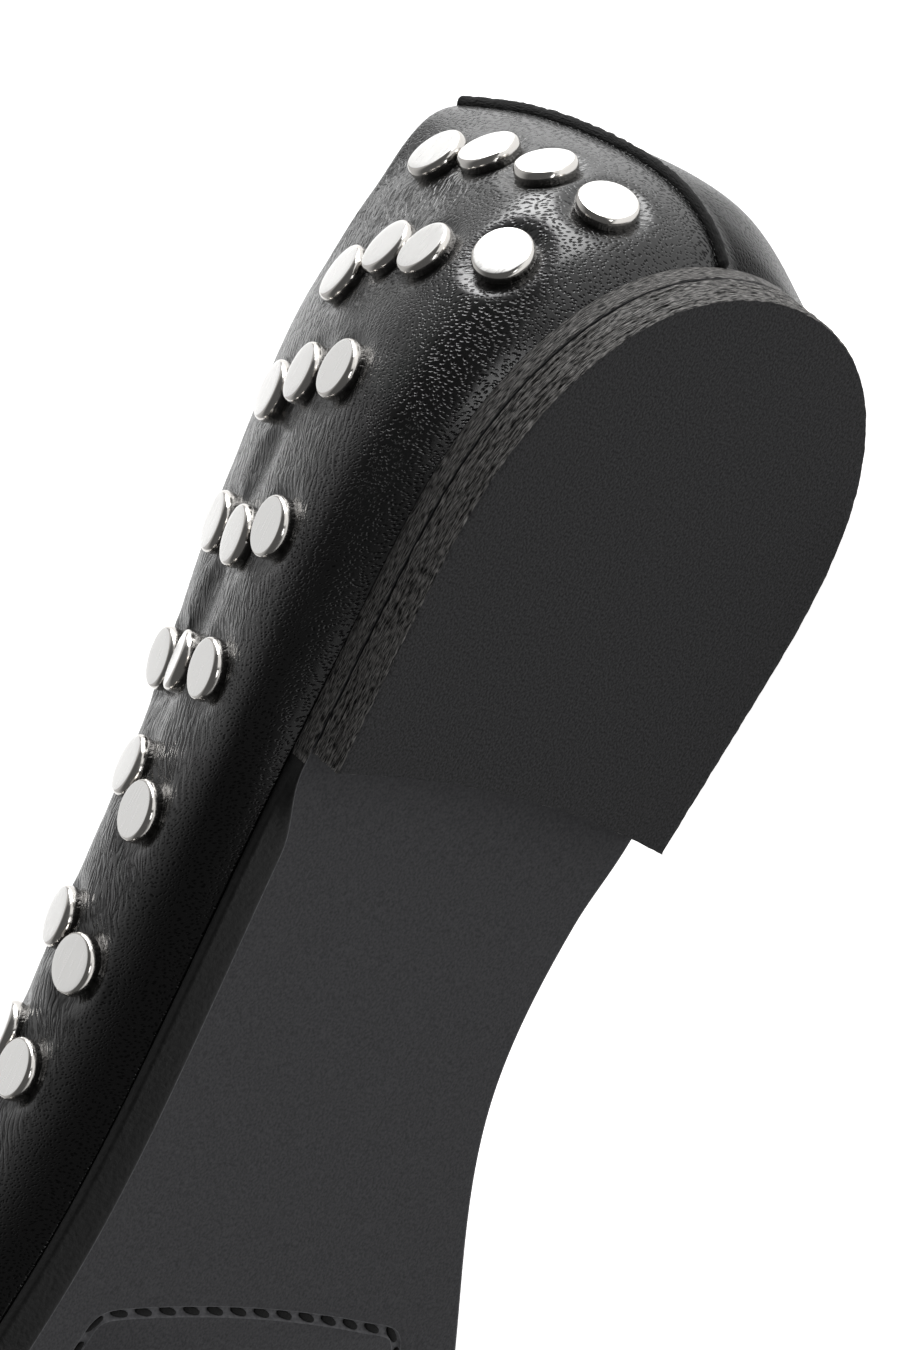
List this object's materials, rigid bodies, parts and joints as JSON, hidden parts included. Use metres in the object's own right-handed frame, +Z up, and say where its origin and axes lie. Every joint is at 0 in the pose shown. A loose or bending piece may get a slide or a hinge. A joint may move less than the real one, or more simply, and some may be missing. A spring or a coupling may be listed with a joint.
{
  "type": "ballet flat",
  "caption": "Soft black leather ballet flat with a low stacked heel, bevelled sole and flat metal disc studs along its quarters, lying on its side.",
  "frame": {"origin": "bottom centre of the box of the shoe as it lies on its medial side, at floor height", "axes": "+X along the shoe from heel to toe, +Y the way the sole faces, +Z up, the way the lateral side faces"},
  "size_m": [0.249, 0.0602, 0.0834],
  "materials": {
    "upper_leather": "semi-gloss grain",
    "sole_leather": "matte",
    "heel_leather": "matte layers",
    "insole_lining": "matte",
    "seam_cord": "matte",
    "stud_metal": "satin"
  },
  "bodies": {
    "root": {"upper": "upper_leather", "outsole": "sole_leather", "heel_stack": "heel_leather", "insole": "insole_lining", "back_cord": "seam_cord", "stud_lateral_a1": "stud_metal", "stud_lateral_a2": "stud_metal", "stud_lateral_a3": "stud_metal", "stud_lateral_a4": "stud_metal", "stud_lateral_b1": "stud_metal", "stud_lateral_b2": "stud_metal", "stud_lateral_b3": "stud_metal", "stud_lateral_b4": "stud_metal", "stud_lateral_c1": "stud_metal", "stud_lateral_c2": "stud_metal", "stud_lateral_c3": "stud_metal", "stud_lateral_d1": "stud_metal", "stud_lateral_d2": "stud_metal", "stud_lateral_d3": "stud_metal", "stud_lateral_e1": "stud_metal", "stud_lateral_e2": "stud_metal", "stud_lateral_e3": "stud_metal", "stud_lateral_f1": "stud_metal", "stud_lateral_f2": "stud_metal", "stud_lateral_g1": "stud_metal", "stud_lateral_g2": "stud_metal", "stud_lateral_h1": "stud_metal", "stud_lateral_h2": "stud_metal", "stud_lateral_i1": "stud_metal", "stud_lateral_i2": "stud_metal", "stud_lateral_j1": "stud_metal", "stud_lateral_j2": "stud_metal", "stud_medial_b1": "stud_metal", "stud_medial_b2": "stud_metal", "stud_medial_b3": "stud_metal", "stud_medial_b4": "stud_metal", "stud_medial_c1": "stud_metal", "stud_medial_c2": "stud_metal", "stud_medial_c3": "stud_metal", "stud_medial_d1": "stud_metal", "stud_medial_d2": "stud_metal", "stud_medial_d3": "stud_metal", "stud_medial_e1": "stud_metal", "stud_medial_e2": "stud_metal", "stud_medial_e3": "stud_metal", "stud_medial_f1": "stud_metal", "stud_medial_f2": "stud_metal", "stud_medial_g1": "stud_metal", "stud_medial_g2": "stud_metal", "stud_medial_h1": "stud_metal", "stud_medial_h2": "stud_metal", "stud_medial_i1": "stud_metal", "stud_medial_i2": "stud_metal", "stud_medial_j1": "stud_metal", "stud_medial_j2": "stud_metal"}
  },
  "joints": []
}
